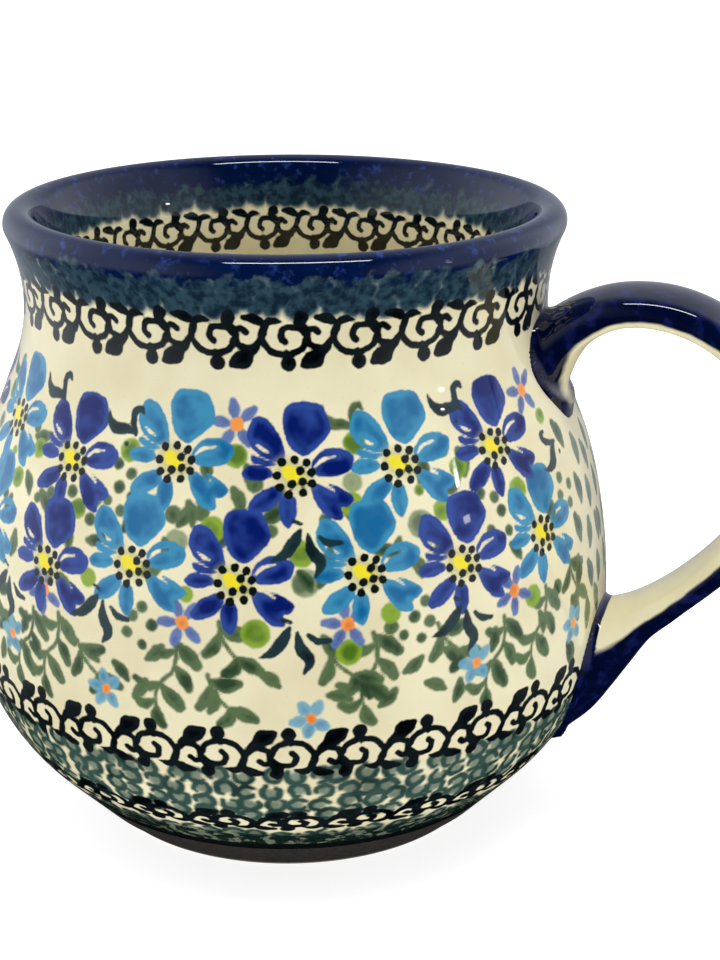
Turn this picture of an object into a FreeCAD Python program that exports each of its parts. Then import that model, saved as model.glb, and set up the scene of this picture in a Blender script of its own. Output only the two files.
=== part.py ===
import FreeCAD, Part
import math
import os

import Sketcher

# A handled stoneware mug in millimetres: +Z up, resting plane at z = 0, handle along +X.
# The frame's origin is under the middle of the whole mug, so the bowl's own axis stands at
# x = (belly_radius - handle_reach) / 2, which is negative because of the handle.

# ---------------------------------------------------------------- driving dimensions
SIZES = {
    # bowl, outside
    "rim_height": 98.1,
    "belly_radius": 51.5,
    "belly_height": 34.5,
    "neck_radius": 40.7,
    "neck_height": 83.8,
    "neck_curve": 26.0,          # radius of the waist under the lip
    "neck_slant": 21.8,          # degrees from vertical between shoulder and waist
    "shoulder_curve": 56.0,
    "belly_curve": 97.0,         # radius of the long curve above the widest point
    "bowl_curve": 34.5,          # radius of the curve below the widest point
    "bowl_slant": 43.8,          # degrees from vertical where the bowl runs down to the foot
    # bowl, inside
    "wall": 5.0,
    "floor_height": 7.0,
    # foot ring
    "foot_radius": 31.2,
    "foot_width": 4.2,
    "foot_height": 2.4,
    "foot_flare": 2.3,           # how far the foot widens towards the bowl
    "foot_lip": 0.4,             # height of the ledge between foot and bowl
    "recess_depth": 1.8,
    "recess_slope": 0.8,
    "foot_round": 0.5,
    # handle: a flat strap in a crook at the neck, a round bow and a straight lower run
    "bow_x": 56.0,               # bow's centre, measured from the bowl's axis
    "bow_z": 63.4,
    "bow_radius": 21.7,
    "crook_radius": 12.25,
    "strap_half_width": 7.3,
    "strap_half_top": 2.9,
    "strap_half_low": 2.6,
    "strap_fullness": 0.69,      # 0 makes its section an ellipse, towards 1 a flat-faced slab
    "lower_run": 13.0,           # straight stretch below the bow
    "handle_reach": 80.45,       # bowl's axis to the bow's outer face
    # luting slip
    "slip_radius": 1.6,
}
BELLY_END = 12.2                 # degrees, first guess; the sketch solves it exactly

# Upper root, in degrees round the crook's centre: distances to the strap's inner and outer
# faces, and half width. It fans out and runs into the neck.
UPPER_ROOT = (
    (205.0, 13.2, 27.0, 5.2),
    (190.0, 11.7, 25.0, 6.4),
    (175.0, 10.7, 22.5, 7.2),
    (160.0, 10.2, 20.0, 7.5),
    (144.0, 9.9, 17.8, 7.5),
    (128.0, 9.55, 16.5, 7.4),
    (110.0, 9.35, 15.6, 7.3),
)
BOW_ANGLES = (90.0, 68.0, 45.0, 22.0, 0.0, -22.0, -45.0)
# Lower root: inner and outer point of each section (distance from the bowl's axis, height),
# and half width. It fans out like a fishtail and runs into the bowl.
LOWER_ROOT = (
    ((55.7, 37.9), (59.6, 32.6), 7.5),
    ((53.0, 37.1), (56.6, 27.9), 8.0),
    ((50.4, 36.5), (53.9, 23.6), 8.7),
    ((47.0, 36.0), (50.8, 19.1), 9.2),
    ((43.2, 35.4), (47.4, 16.0), 9.3),
    ((39.4, 34.8), (43.4, 14.4), 9.1),
)

doc = FreeCAD.newDocument("mug")
sheet = doc.addObject("Spreadsheet::Sheet", "Sizes")
for row, (alias, value) in enumerate(SIZES.items(), start=1):
    sheet.set(f"A{row}", alias)
    sheet.set(f"B{row}", str(value))
    sheet.setAlias(f"B{row}", alias)
doc.recompute()

AXIS_X = "(Sizes.belly_radius - Sizes.handle_reach) / 2"
X_AXIS, Y_AXIS = -1, -2          # a sketch's own axes


# ---------------------------------------------------------------- helpers
def new_body(name):
    """A body standing on the bowl's axis."""
    body = doc.addObject("PartDesign::Body", name)
    body.Label = name
    body.setExpression("Placement.Base.x", AXIS_X)
    return body


def new_sketch(body, name, plane):
    sketch = body.newObject("Sketcher::SketchObject", name)
    support = next(item for item in body.Origin.OriginFeatures if item.Role == plane)
    sketch.AttachmentSupport = [(support, "")]
    sketch.MapMode = "FlatFace"
    return sketch


def bind(sketch, name, expression, *constraint):
    """Add a sizing constraint and drive it from the sheet."""
    index = sketch.addConstraint(Sketcher.Constraint(*constraint))
    sketch.renameConstraint(index, name)
    sketch.setExpression(f"Constraints.{name}", expression)


def line(first, second):
    return Part.LineSegment(FreeCAD.Vector(*first, 0), FreeCAD.Vector(*second, 0))


def arc(centre, radius, start, end):
    """Counter-clockwise arc between two angles in degrees."""
    circle = Part.Circle(FreeCAD.Vector(*centre, 0), FreeCAD.Vector(0, 0, 1), radius)
    return Part.ArcOfCircle(circle, math.radians(start), math.radians(end))


def polar(centre, radius, degrees):
    angle = math.radians(degrees)
    return centre[0] + radius * math.cos(angle), centre[1] + radius * math.sin(angle)


# ---------------------------------------------------------------- bowl
def add_outside(sketch):
    """Draw the bowl's outside from the foot's top edge to the lip's inner end.

    Returns the index of each curve. Seven curves run up in tangent order.
    """
    s = SIZES
    bowl_centre = (s["belly_radius"] - s["bowl_curve"], s["belly_height"])
    belly_centre = (s["belly_radius"] - s["belly_curve"], s["belly_height"])
    belly_top = polar(belly_centre, s["belly_curve"], BELLY_END)
    shoulder_centre = polar(belly_top, -s["shoulder_curve"], BELLY_END)
    neck_centre = (s["neck_radius"] + s["neck_curve"], s["neck_height"])
    lip = s["wall"] / 2
    lip_rise = s["rim_height"] - lip - s["neck_height"]
    lip_angle = math.degrees(math.asin(lip_rise / (s["neck_curve"] + lip)))
    lip_centre = polar(neck_centre, s["neck_curve"] + lip, 180 - lip_angle)
    ledge_top = s["foot_height"] + s["foot_lip"]
    cone_top = polar(bowl_centre, s["bowl_curve"], -s["bowl_slant"])
    cone_run = (cone_top[1] - ledge_top) * math.tan(math.radians(s["bowl_slant"]))
    cone_foot = (cone_top[0] - cone_run, ledge_top)
    neck_foot = polar(neck_centre, s["neck_curve"], 180 + s["neck_slant"])
    shoulder_top = polar(shoulder_centre, s["shoulder_curve"], s["neck_slant"])

    add = sketch.addGeometry
    curve = {
        "cone": add(line(cone_foot, cone_top)),
        "bowl": add(arc(bowl_centre, s["bowl_curve"], -s["bowl_slant"], 0)),
        "belly": add(arc(belly_centre, s["belly_curve"], 0, BELLY_END)),
        "shoulder": add(arc(shoulder_centre, s["shoulder_curve"], BELLY_END, s["neck_slant"])),
        "slant": add(line(shoulder_top, neck_foot)),
        "neck": add(arc(neck_centre, s["neck_curve"], 180 - lip_angle, 180 + s["neck_slant"])),
        "lip": add(arc(lip_centre, lip, -lip_angle, 180 - lip_angle)),
    }
    joints = (
        ("cone", 2, "bowl", 1),
        ("bowl", 2, "belly", 1),
        ("belly", 2, "shoulder", 1),
        ("shoulder", 2, "slant", 1),
        ("slant", 2, "neck", 2),
        ("neck", 1, "lip", 1),
    )
    for first, first_end, second, second_end in joints:
        tangent = ("Tangent", curve[first], first_end, curve[second], second_end)
        sketch.addConstraint(Sketcher.Constraint(*tangent))

    bind(sketch, "bowl_curve", "Sizes.bowl_curve", "Radius", curve["bowl"], s["bowl_curve"])
    bind(sketch, "belly_curve", "Sizes.belly_curve", "Radius", curve["belly"], s["belly_curve"])
    bind(sketch, "shoulder_curve", "Sizes.shoulder_curve",
         "Radius", curve["shoulder"], s["shoulder_curve"])
    bind(sketch, "neck_curve", "Sizes.neck_curve", "Radius", curve["neck"], s["neck_curve"])
    bind(sketch, "lip_curve", "Sizes.wall / 2", "Radius", curve["lip"], lip)
    bind(sketch, "belly_radius", "Sizes.belly_radius",
         "DistanceX", X_AXIS, 1, curve["bowl"], 2, s["belly_radius"])
    bind(sketch, "belly_height", "Sizes.belly_height",
         "DistanceY", X_AXIS, 1, curve["bowl"], 3, s["belly_height"])
    bind(sketch, "belly_level", "Sizes.belly_height",
         "DistanceY", X_AXIS, 1, curve["belly"], 3, s["belly_height"])
    bind(sketch, "neck_centre", "Sizes.neck_radius + Sizes.neck_curve",
         "DistanceX", X_AXIS, 1, curve["neck"], 3, neck_centre[0])
    bind(sketch, "neck_height", "Sizes.neck_height",
         "DistanceY", X_AXIS, 1, curve["neck"], 3, s["neck_height"])
    bind(sketch, "lip_height", "Sizes.rim_height - Sizes.wall / 2",
         "DistanceY", X_AXIS, 1, curve["lip"], 3, lip_centre[1])
    bind(sketch, "cone_angle", "(90 - Sizes.bowl_slant) * 1 deg",
         "Angle", curve["cone"], math.radians(90 - s["bowl_slant"]))
    bind(sketch, "slant_angle", "(90 + Sizes.neck_slant) * 1 deg",
         "Angle", curve["slant"], math.radians(90 + s["neck_slant"]))
    bind(sketch, "ledge_top", "Sizes.foot_height + Sizes.foot_lip",
         "DistanceY", X_AXIS, 1, curve["cone"], 1, ledge_top)
    return curve


def end_point(sketch, index, end):
    point = sketch.getPoint(index, end)
    return point.x, point.y


def make_mug_body():
    """The cast bowl: wall, floor and foot ring are one piece of clay."""
    s = SIZES
    body = new_body("mug_body")
    sketch = new_sketch(body, "bowl_profile", "XZ_Plane")
    curve = add_outside(sketch)
    add = sketch.addGeometry
    tie = sketch.addConstraint

    # Inside wall: the outside's own curves, one wall thickness in.
    wall = s["wall"]
    neck, shoulder, belly = (sketch.Geometry[curve[key]] for key in ("neck", "shoulder", "belly"))
    centre = {key: (item.Center.x, item.Center.y)
              for key, item in (("neck", neck), ("shoulder", shoulder), ("belly", belly))}
    inner_lip = end_point(sketch, curve["lip"], 2)
    lip_turn = math.degrees(math.atan2(inner_lip[1] - centre["neck"][1],
                                       inner_lip[0] - centre["neck"][0]))
    slant_foot = polar(centre["neck"], s["neck_curve"] + wall, 180 + s["neck_slant"])
    slant_end = polar(centre["shoulder"], s["shoulder_curve"] - wall, s["neck_slant"])
    floor_curve = s["belly_height"] - s["floor_height"]
    floor_centre = (s["belly_radius"] - wall - floor_curve, s["belly_height"])
    in_neck = add(arc(centre["neck"], s["neck_curve"] + wall, lip_turn, 180 + s["neck_slant"]))
    in_slant = add(line(slant_foot, slant_end))
    in_shoulder = add(arc(centre["shoulder"], s["shoulder_curve"] - wall, BELLY_END,
                          s["neck_slant"]))
    in_belly = add(arc(centre["belly"], s["belly_curve"] - wall, 0, BELLY_END))
    in_bowl = add(arc(floor_centre, floor_curve, -90, 0))
    floor = add(line((floor_centre[0], s["floor_height"]), (0, s["floor_height"])))
    for first, first_end, second, second_end in (
        (curve["lip"], 2, in_neck, 1),
        (in_neck, 2, in_slant, 1),
        (in_slant, 2, in_shoulder, 2),
        (in_shoulder, 1, in_belly, 2),
        (in_belly, 1, in_bowl, 2),
        (in_bowl, 1, floor, 1),
    ):
        tie(Sketcher.Constraint("Tangent", first, first_end, second, second_end))
    for inner, outer in ((in_neck, "neck"), (in_shoulder, "shoulder"), (in_belly, "belly")):
        tie(Sketcher.Constraint("Coincident", inner, 3, curve[outer], 3))
    tie(Sketcher.Constraint("Parallel", in_slant, curve["slant"]))
    tie(Sketcher.Constraint("Horizontal", floor))
    bind(sketch, "floor_centre", "Sizes.belly_height",
         "DistanceY", X_AXIS, 1, in_bowl, 3, s["belly_height"])
    bind(sketch, "floor_height", "Sizes.floor_height",
         "DistanceY", X_AXIS, 1, floor, 2, s["floor_height"])

    # Foot ring and the recess inside it.
    ring_inner = s["foot_radius"] - s["foot_width"]
    ring_top = s["foot_radius"] + s["foot_flare"]
    recess = add(line((0, s["recess_depth"]),
                      (ring_inner - s["recess_slope"], s["recess_depth"])))
    ring_slope = add(line((ring_inner - s["recess_slope"], s["recess_depth"]), (ring_inner, 0)))
    ring = add(line((ring_inner, 0), (s["foot_radius"], 0)))
    foot_side = add(line((s["foot_radius"], 0), (ring_top, s["foot_height"])))
    ledge = add(line((ring_top, s["foot_height"]), end_point(sketch, curve["cone"], 1)))
    axis = add(line((0, s["floor_height"]), (0, s["recess_depth"])))
    for first, second in ((floor, axis), (axis, recess), (recess, ring_slope),
                          (ring_slope, ring), (ring, foot_side), (foot_side, ledge),
                          (ledge, curve["cone"])):
        tie(Sketcher.Constraint("Coincident", first, 2, second, 1))
    tie(Sketcher.Constraint("Vertical", axis))
    tie(Sketcher.Constraint("PointOnObject", axis, 1, Y_AXIS))
    tie(Sketcher.Constraint("Horizontal", recess))
    tie(Sketcher.Constraint("Horizontal", ring))
    tie(Sketcher.Constraint("PointOnObject", ring, 1, X_AXIS))
    bind(sketch, "recess_depth", "Sizes.recess_depth",
         "DistanceY", X_AXIS, 1, recess, 2, s["recess_depth"])
    bind(sketch, "recess_radius", "Sizes.foot_radius - Sizes.foot_width - Sizes.recess_slope",
         "DistanceX", X_AXIS, 1, recess, 2, ring_inner - s["recess_slope"])
    bind(sketch, "ring_inner", "Sizes.foot_radius - Sizes.foot_width",
         "DistanceX", X_AXIS, 1, ring, 1, ring_inner)
    bind(sketch, "foot_radius", "Sizes.foot_radius",
         "DistanceX", X_AXIS, 1, ring, 2, s["foot_radius"])
    bind(sketch, "foot_top", "Sizes.foot_radius + Sizes.foot_flare",
         "DistanceX", X_AXIS, 1, foot_side, 2, ring_top)
    bind(sketch, "foot_height", "Sizes.foot_height",
         "DistanceY", X_AXIS, 1, foot_side, 2, s["foot_height"])

    turn = body.newObject("PartDesign::Revolution", "bowl_turn")
    turn.Profile = sketch
    turn.ReferenceAxis = (sketch, ["V_Axis"])
    turn.Angle = 360
    doc.recompute()

    # Round the ring's two edges on the resting plane.
    edges = [
        f"Edge{number}" for number, edge in enumerate(turn.Shape.Edges, start=1)
        if abs(edge.BoundBox.ZMax) < 0.01 and edge.BoundBox.XLength > 10
    ]
    rounding = body.newObject("PartDesign::Fillet", "foot_rounding")
    rounding.Base = (turn, edges)
    rounding.setExpression("Radius", "Sizes.foot_round")
    doc.recompute()
    return body


def make_core():
    """The bowl's outside as a solid block, for cutting the handle's ends to its curve."""
    body = new_body("bowl_core")
    sketch = new_sketch(body, "core_profile", "XZ_Plane")
    curve = add_outside(sketch)
    lip_end = end_point(sketch, curve["lip"], 2)
    cone_foot = end_point(sketch, curve["cone"], 1)
    top = sketch.addGeometry(line(lip_end, (0, lip_end[1])))
    axis = sketch.addGeometry(line((0, lip_end[1]), (0, cone_foot[1])))
    bottom = sketch.addGeometry(line((0, cone_foot[1]), cone_foot))
    tie = sketch.addConstraint
    # The lip's inner end has no wall to meet here, so it stops a quarter turn past the crown.
    bind(sketch, "lip_end", "Sizes.rim_height - Sizes.wall / 2",
         "DistanceY", X_AXIS, 1, curve["lip"], 2, lip_end[1])
    tie(Sketcher.Constraint("Coincident", curve["lip"], 2, top, 1))
    tie(Sketcher.Constraint("Coincident", top, 2, axis, 1))
    tie(Sketcher.Constraint("Coincident", axis, 2, bottom, 1))
    tie(Sketcher.Constraint("Coincident", bottom, 2, curve["cone"], 1))
    tie(Sketcher.Constraint("Horizontal", top))
    tie(Sketcher.Constraint("Horizontal", bottom))
    tie(Sketcher.Constraint("Vertical", axis))
    tie(Sketcher.Constraint("PointOnObject", axis, 1, Y_AXIS))
    turn = body.newObject("PartDesign::Revolution", "core_turn")
    turn.Profile = sketch
    turn.ReferenceAxis = (sketch, ["V_Axis"])
    turn.Angle = 360
    doc.recompute()
    return body


# ---------------------------------------------------------------- handle
def add_section(body, name, where, tilt, half_width, half_thick):
    """One cross-section of the strap: a flat oval of four tangent arcs.

    where is its centre as two expressions (distance from the bowl's axis, height), and tilt
    the strap's outward direction in degrees above +X. Sizes are expressions too.
    """
    sketch = new_sketch(body, name, "YZ_Plane")
    turn = FreeCAD.Rotation(FreeCAD.Vector(1, 0, 0), 90 - tilt)
    sketch.AttachmentOffset = FreeCAD.Placement(FreeCAD.Vector(0, 0, 0), turn)
    sketch.setExpression("AttachmentOffset.Base.y", where[1])
    sketch.setExpression("AttachmentOffset.Base.z", where[0])
    edge = (f"({half_thick} ^ 2 / ({half_width}) * (1 - Sizes.strap_fullness)"
            f" + {half_thick} * Sizes.strap_fullness)")
    width, thick, corner = (sheet.evalExpression(text) for text in (half_width, half_thick, edge))
    rise = ((width - corner) ** 2 + thick ** 2 - corner ** 2) / (2 * (thick - corner)) - thick
    face = rise + thick
    side = 1 if thick < width else -1
    spread = math.degrees(math.atan2(side * rise, side * (width - corner)))
    right = sketch.addGeometry(arc((width - corner, 0), corner, -spread, spread))
    upper = sketch.addGeometry(arc((0, -rise), face, spread, 180 - spread))
    left = sketch.addGeometry(arc((corner - width, 0), corner, 180 - spread, 180 + spread))
    lower = sketch.addGeometry(arc((0, rise), face, 180 + spread, 360 - spread))
    crown = sketch.addGeometry(Part.Point(FreeCAD.Vector(0, thick, 0)), True)
    tie = sketch.addConstraint
    for first, second in ((right, upper), (upper, left), (left, lower), (lower, right)):
        tie(Sketcher.Constraint("Tangent", first, 2, second, 1))
    tie(Sketcher.Constraint("PointOnObject", right, 3, X_AXIS))
    tie(Sketcher.Constraint("Symmetric", right, 3, left, 3, X_AXIS, 1))
    tie(Sketcher.Constraint("PointOnObject", upper, 3, Y_AXIS))
    tie(Sketcher.Constraint("Equal", upper, lower))
    tie(Sketcher.Constraint("PointOnObject", crown, 1, Y_AXIS))
    tie(Sketcher.Constraint("PointOnObject", crown, 1, upper))
    bind(sketch, "edge", edge, "Radius", right, corner)
    bind(sketch, "reach", f"{half_width} - {edge}",
         "DistanceX", X_AXIS, 1, right, 3, width - corner)
    bind(sketch, "crown", half_thick, "DistanceY", X_AXIS, 1, crown, 1, thick)
    return sketch


def make_strap():
    """The handle before its ends are cut: one loft from root to root."""
    body = new_body("strap")
    sections = []
    crook_z = "(Sizes.bow_z + Sizes.bow_radius - Sizes.crook_radius)"
    for angle, inner, outer, half_width in UPPER_ROOT:
        middle, half = (inner + outer) / 2, (outer - inner) / 2
        where = (f"Sizes.bow_x + {middle} * cos({angle} deg)",
                 f"{crook_z} + {middle} * sin({angle} deg)")
        sections.append((where, angle, str(half_width), str(half)))
    for number, angle in enumerate(BOW_ANGLES):
        where = (f"Sizes.bow_x + Sizes.bow_radius * cos({angle} deg)",
                 f"Sizes.bow_z + Sizes.bow_radius * sin({angle} deg)")
        share = number / (len(BOW_ANGLES) - 1)
        half = f"(Sizes.strap_half_top * {1 - share} + Sizes.strap_half_low * {share})"
        sections.append((where, angle, "Sizes.strap_half_width", half))
    # The straight run leaves the bow's end downwards and inwards at 45 degrees.
    where = ("Sizes.bow_x + (Sizes.bow_radius - Sizes.lower_run) * cos(45 deg)",
             "Sizes.bow_z - (Sizes.bow_radius + Sizes.lower_run) * cos(45 deg)")
    sections.append((where, -45.0, "Sizes.strap_half_width", "Sizes.strap_half_low"))
    for inner, outer, half_width in LOWER_ROOT:
        where = (str((inner[0] + outer[0]) / 2), str((inner[1] + outer[1]) / 2))
        tilt = math.degrees(math.atan2(outer[1] - inner[1], outer[0] - inner[0]))
        half = math.dist(inner, outer) / 2
        sections.append((where, tilt, str(half_width), str(half)))
    sketches = [add_section(body, f"section_{number:02d}", *section)
                for number, section in enumerate(sections, start=1)]
    doc.recompute()
    loft = body.newObject("PartDesign::AdditiveLoft", "strap_loft")
    loft.Profile = sketches[0]
    loft.Sections = sketches[1:]
    loft.Ruled = False
    loft.Closed = False
    doc.recompute()
    return body


def make_boolean(kind, name, base, tool):
    result = doc.addObject(kind, name)
    result.Label = name
    result.Base = base
    result.Tool = tool
    doc.recompute()
    return result


def make_slip(name, joined, low, high):
    """Luting slip smoothed into a fillet round the root that lies between two heights."""
    axis = doc.mug_body.Placement.Base.x
    bowl = doc.bowl_core.Shape.Faces
    seam = []
    for number, edge in enumerate(joined.Shape.Edges, start=1):
        box = edge.BoundBox
        if box.ZMin < low or box.ZMax > high or box.XMin < axis + 30:
            continue
        points = edge.discretize(7)[1:-1]
        on_bowl = all(min(face.distToShape(Part.Vertex(point))[0] for face in bowl) < 0.01
                      for point in points)
        on_strap = all(doc.strap.Shape.Shells[0].distToShape(Part.Vertex(point))[0] < 0.01
                       for point in points)
        if on_bowl and on_strap:
            seam.append(number)
    radius = SIZES["slip_radius"]
    rounded = doc.addObject("Part::Fillet", f"{name}_rounded")
    rounded.Base = joined
    rounded.Edges = [(number, radius, radius) for number in seam]
    doc.recompute()
    return make_boolean("Part::Cut", name, rounded, joined)


mug_body = make_mug_body()
core = make_core()
strap = make_strap()
handle = make_boolean("Part::Cut", "handle", strap, core)
joined = doc.addObject("Part::Fuse", "joined")
joined.Base = core
joined.Tool = strap
doc.recompute()
upper_slip = make_slip("upper_joint_slip", joined, 60, 90)
lower_slip = make_slip("lower_joint_slip", joined, 10, 45)

nodes = [mug_body, handle, upper_slip, lower_slip]
for item in nodes:
    if "Invalid" in item.State or "Error" in item.State:
        raise RuntimeError(f"{item.Label} did not recompute: {item.State}")
    if item.Shape.isNull() or not item.Shape.isValid() or item.Shape.Volume <= 0:
        raise RuntimeError(f"{item.Label} is not a valid solid")

os.makedirs("parts", exist_ok=True)
for item in nodes:
    item.Shape.exportStep(f"parts/{item.Label}.step")
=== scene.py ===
import math

import bmesh
import bpy
import numpy as np
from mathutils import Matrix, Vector


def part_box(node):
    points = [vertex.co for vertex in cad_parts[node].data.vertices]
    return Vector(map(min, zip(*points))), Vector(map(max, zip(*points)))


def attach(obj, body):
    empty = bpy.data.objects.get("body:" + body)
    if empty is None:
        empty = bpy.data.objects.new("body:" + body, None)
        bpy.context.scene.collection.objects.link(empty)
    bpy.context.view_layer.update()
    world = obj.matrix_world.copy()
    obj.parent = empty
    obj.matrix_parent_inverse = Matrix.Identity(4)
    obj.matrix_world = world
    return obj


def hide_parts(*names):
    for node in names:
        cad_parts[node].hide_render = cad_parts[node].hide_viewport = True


# A painted stoneware mug. The bowl's outside, inside and foot, and the handle with its
# luting slip, are smooth meshes on the CAD shape. Each painted motif is laid out in
# millimetres on the bowl's skin and stored per vertex as the distance to its edge, and the
# glaze material turns those distances into pigment. Shapes are in millimetres and degrees,
# the lights and the rooms round the mug in metres.
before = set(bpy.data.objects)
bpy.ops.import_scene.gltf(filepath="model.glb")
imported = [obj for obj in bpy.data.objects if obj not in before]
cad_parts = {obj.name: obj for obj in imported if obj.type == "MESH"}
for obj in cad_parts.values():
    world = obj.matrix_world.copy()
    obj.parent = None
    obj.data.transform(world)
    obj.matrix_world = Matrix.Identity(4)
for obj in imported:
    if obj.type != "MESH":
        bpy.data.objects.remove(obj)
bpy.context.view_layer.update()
MM = 0.001

# ---------------------------------------------------------------- sizes from the frame (mm)
body_low, body_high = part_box("mug_body")
AXIS_X = (body_low.x + body_high.x) / 2 / MM
BELLY_R = (body_high.x - body_low.x) / 2 / MM
RIM_Z = body_high.z / MM
BELLY_Z = 34.5
WALL = 5.0
NECK_R, NECK_Z, NECK_CURVE = 40.7, 83.8, 26.0
SLANT = 21.8
BELLY_CURVE, SHOULDER_CURVE, BOWL_CURVE, BOWL_SLANT = 97.0, 56.0, 34.5, 43.8
FLOOR_Z = 7.0
FOOT_R, FOOT_W, FOOT_Z, FOOT_FLARE, FOOT_LIP = 31.2, 4.2, 2.4, 2.3, 0.4
RECESS_Z, RECESS_SLOPE, FOOT_ROUND = 1.8, 0.8, 0.5


def add_object(name, data):
    item = bpy.data.objects.new(name, data)
    bpy.context.scene.collection.objects.link(item)
    return item


# ---------------------------------------------------------------- profile
def arc(centre, radius, start, end, step):
    """Points on an arc, angles in degrees, about one step apart."""
    count = max(3, round(abs(math.radians(end - start)) * radius / step) + 1)
    angles = np.radians(np.linspace(start, end, count))
    return np.stack([centre[0] + radius * np.cos(angles), centre[1] + radius * np.sin(angles)], 1)


def run(first, second, step):
    count = max(2, round(math.dist(first, second) / step) + 1)
    share = np.linspace(0, 1, count)[:, None]
    return np.array(first) * (1 - share) + np.array(second) * share


def join(*parts):
    """One polyline from parts that share their end points."""
    points = [parts[0]] + [part[1:] for part in parts[1:]]
    return np.concatenate(points)


def polar(centre, radius, degrees):
    angle = math.radians(degrees)
    return centre[0] + radius * math.cos(angle), centre[1] + radius * math.sin(angle)


NECK_C = (NECK_R + NECK_CURVE, NECK_Z)
LIP = WALL / 2
LIP_TURN = math.degrees(math.asin((RIM_Z - LIP - NECK_Z) / (NECK_CURVE + LIP)))
LIP_C = polar(NECK_C, NECK_CURVE + LIP, 180 - LIP_TURN)
BELLY_C = (BELLY_R - BELLY_CURVE, BELLY_Z)
BOWL_C = (BELLY_R - BOWL_CURVE, BELLY_Z)
# The shoulder touches the belly's curve from inside and a straight slant that touches the
# neck's curve, which fixes how far the belly's curve runs.
neck_reach = (NECK_C[0] - BELLY_C[0]) * math.cos(math.radians(SLANT))
neck_reach += (NECK_C[1] - BELLY_C[1]) * math.sin(math.radians(SLANT))
shoulder_offset = neck_reach - NECK_CURVE - SHOULDER_CURVE
BELLY_TURN = SLANT - math.degrees(math.acos(shoulder_offset / (BELLY_CURVE - SHOULDER_CURVE)))
SHOULDER_C = polar(BELLY_C, BELLY_CURVE - SHOULDER_CURVE, BELLY_TURN)
LEDGE_Z = FOOT_Z + FOOT_LIP
cone_top = polar(BOWL_C, BOWL_CURVE, -BOWL_SLANT)
CONE_FOOT = (cone_top[0] - (cone_top[1] - LEDGE_Z) * math.tan(math.radians(BOWL_SLANT)), LEDGE_Z)
GLAZE_Z = 6.2
GLAZE_LINE = (CONE_FOOT[0] + (GLAZE_Z - LEDGE_Z) * math.tan(math.radians(BOWL_SLANT)), GLAZE_Z)


def wall_points(inset, step):
    """The wall from the belly's widest level up to the lip, set in by some distance."""
    neck_end = polar(NECK_C, NECK_CURVE + inset, 180 + SLANT)
    shoulder_end = polar(SHOULDER_C, SHOULDER_CURVE - inset, SLANT)
    return join(
        arc(BELLY_C, BELLY_CURVE - inset, 0, BELLY_TURN, step),
        arc(SHOULDER_C, SHOULDER_CURVE - inset, BELLY_TURN, SLANT, step),
        run(shoulder_end, neck_end, step),
        arc(NECK_C, NECK_CURVE + inset, 180 + SLANT, 180 - LIP_TURN, step),
    )


def outside_profile(step):
    """From the glaze line above the foot up to the lip's crown."""
    return join(
        run(GLAZE_LINE, cone_top, step),
        arc(BOWL_C, BOWL_CURVE, -BOWL_SLANT, 0, step),
        wall_points(0, step),
        arc(LIP_C, LIP, -LIP_TURN, 90, step * 0.8),
    )


def inside_profile(fine, coarse):
    """From the lip's crown down to the middle of the floor, fine where it is painted."""
    floor_curve = BELLY_Z - FLOOR_Z
    floor_centre = (BELLY_R - WALL - floor_curve, BELLY_Z)
    wall = wall_points(WALL, fine)[::-1]
    painted = wall[:, 1] > 78
    plain = wall[~painted]
    return join(
        arc(LIP_C, LIP, 90, 180 - LIP_TURN, fine),
        wall[painted],
        plain[::round(coarse / fine)],
        arc(floor_centre, floor_curve, 0, -90, coarse)[1:],
        run((floor_centre[0], FLOOR_Z), (0.02, FLOOR_Z), coarse * 2),
    )


def foot_profile(step):
    """From the glaze line down round the resting ring and in to the recess's middle."""
    ring = FOOT_R - FOOT_W
    side = math.degrees(math.atan2(FOOT_Z, FOOT_FLARE))
    round_c = (FOOT_R - FOOT_ROUND * math.tan(math.radians(side / 2)), FOOT_ROUND)
    side_top = (FOOT_R + FOOT_FLARE, FOOT_Z)
    return join(
        run(GLAZE_LINE, CONE_FOOT, step),
        run(CONE_FOOT, side_top, step),
        run(side_top, polar(round_c, FOOT_ROUND, side - 90), step),
        arc(round_c, FOOT_ROUND, side - 90, -90, step * 0.4),
        run((round_c[0], 0), (ring + 0.3, 0), step),
        run((ring + 0.3, 0), (ring - RECESS_SLOPE, RECESS_Z), step),
        run((ring - RECESS_SLOPE, RECESS_Z), (0.02, RECESS_Z), step * 3),
    )


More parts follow.
